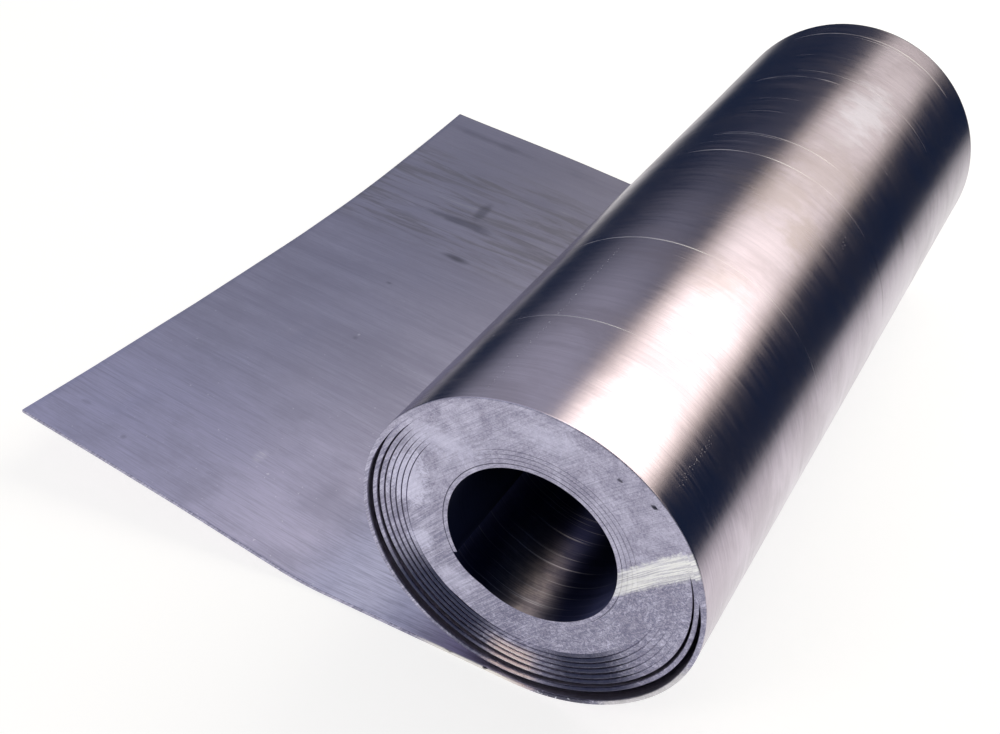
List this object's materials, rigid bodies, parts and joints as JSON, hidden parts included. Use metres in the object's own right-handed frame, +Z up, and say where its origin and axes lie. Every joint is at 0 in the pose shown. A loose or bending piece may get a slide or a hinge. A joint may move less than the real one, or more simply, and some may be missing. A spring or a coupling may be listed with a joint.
{
  "type": "lead flashing roll",
  "caption": "Roll of sheet lead flashing with an open bore, loosened outer turns and its free end lying flat on the floor.",
  "frame": {"origin": "on the bore's axis, halfway along the tight turns", "axes": "+Y along the roll's axis towards its far end, +Z up, free end running towards -X"},
  "size_m": [0.3681, 0.4546, 0.1581],
  "materials": {
    "rolled_lead": "satin rolled sheet lead"
  },
  "bodies": {
    "root": {"lead_strip": "rolled_lead"}
  },
  "joints": []
}
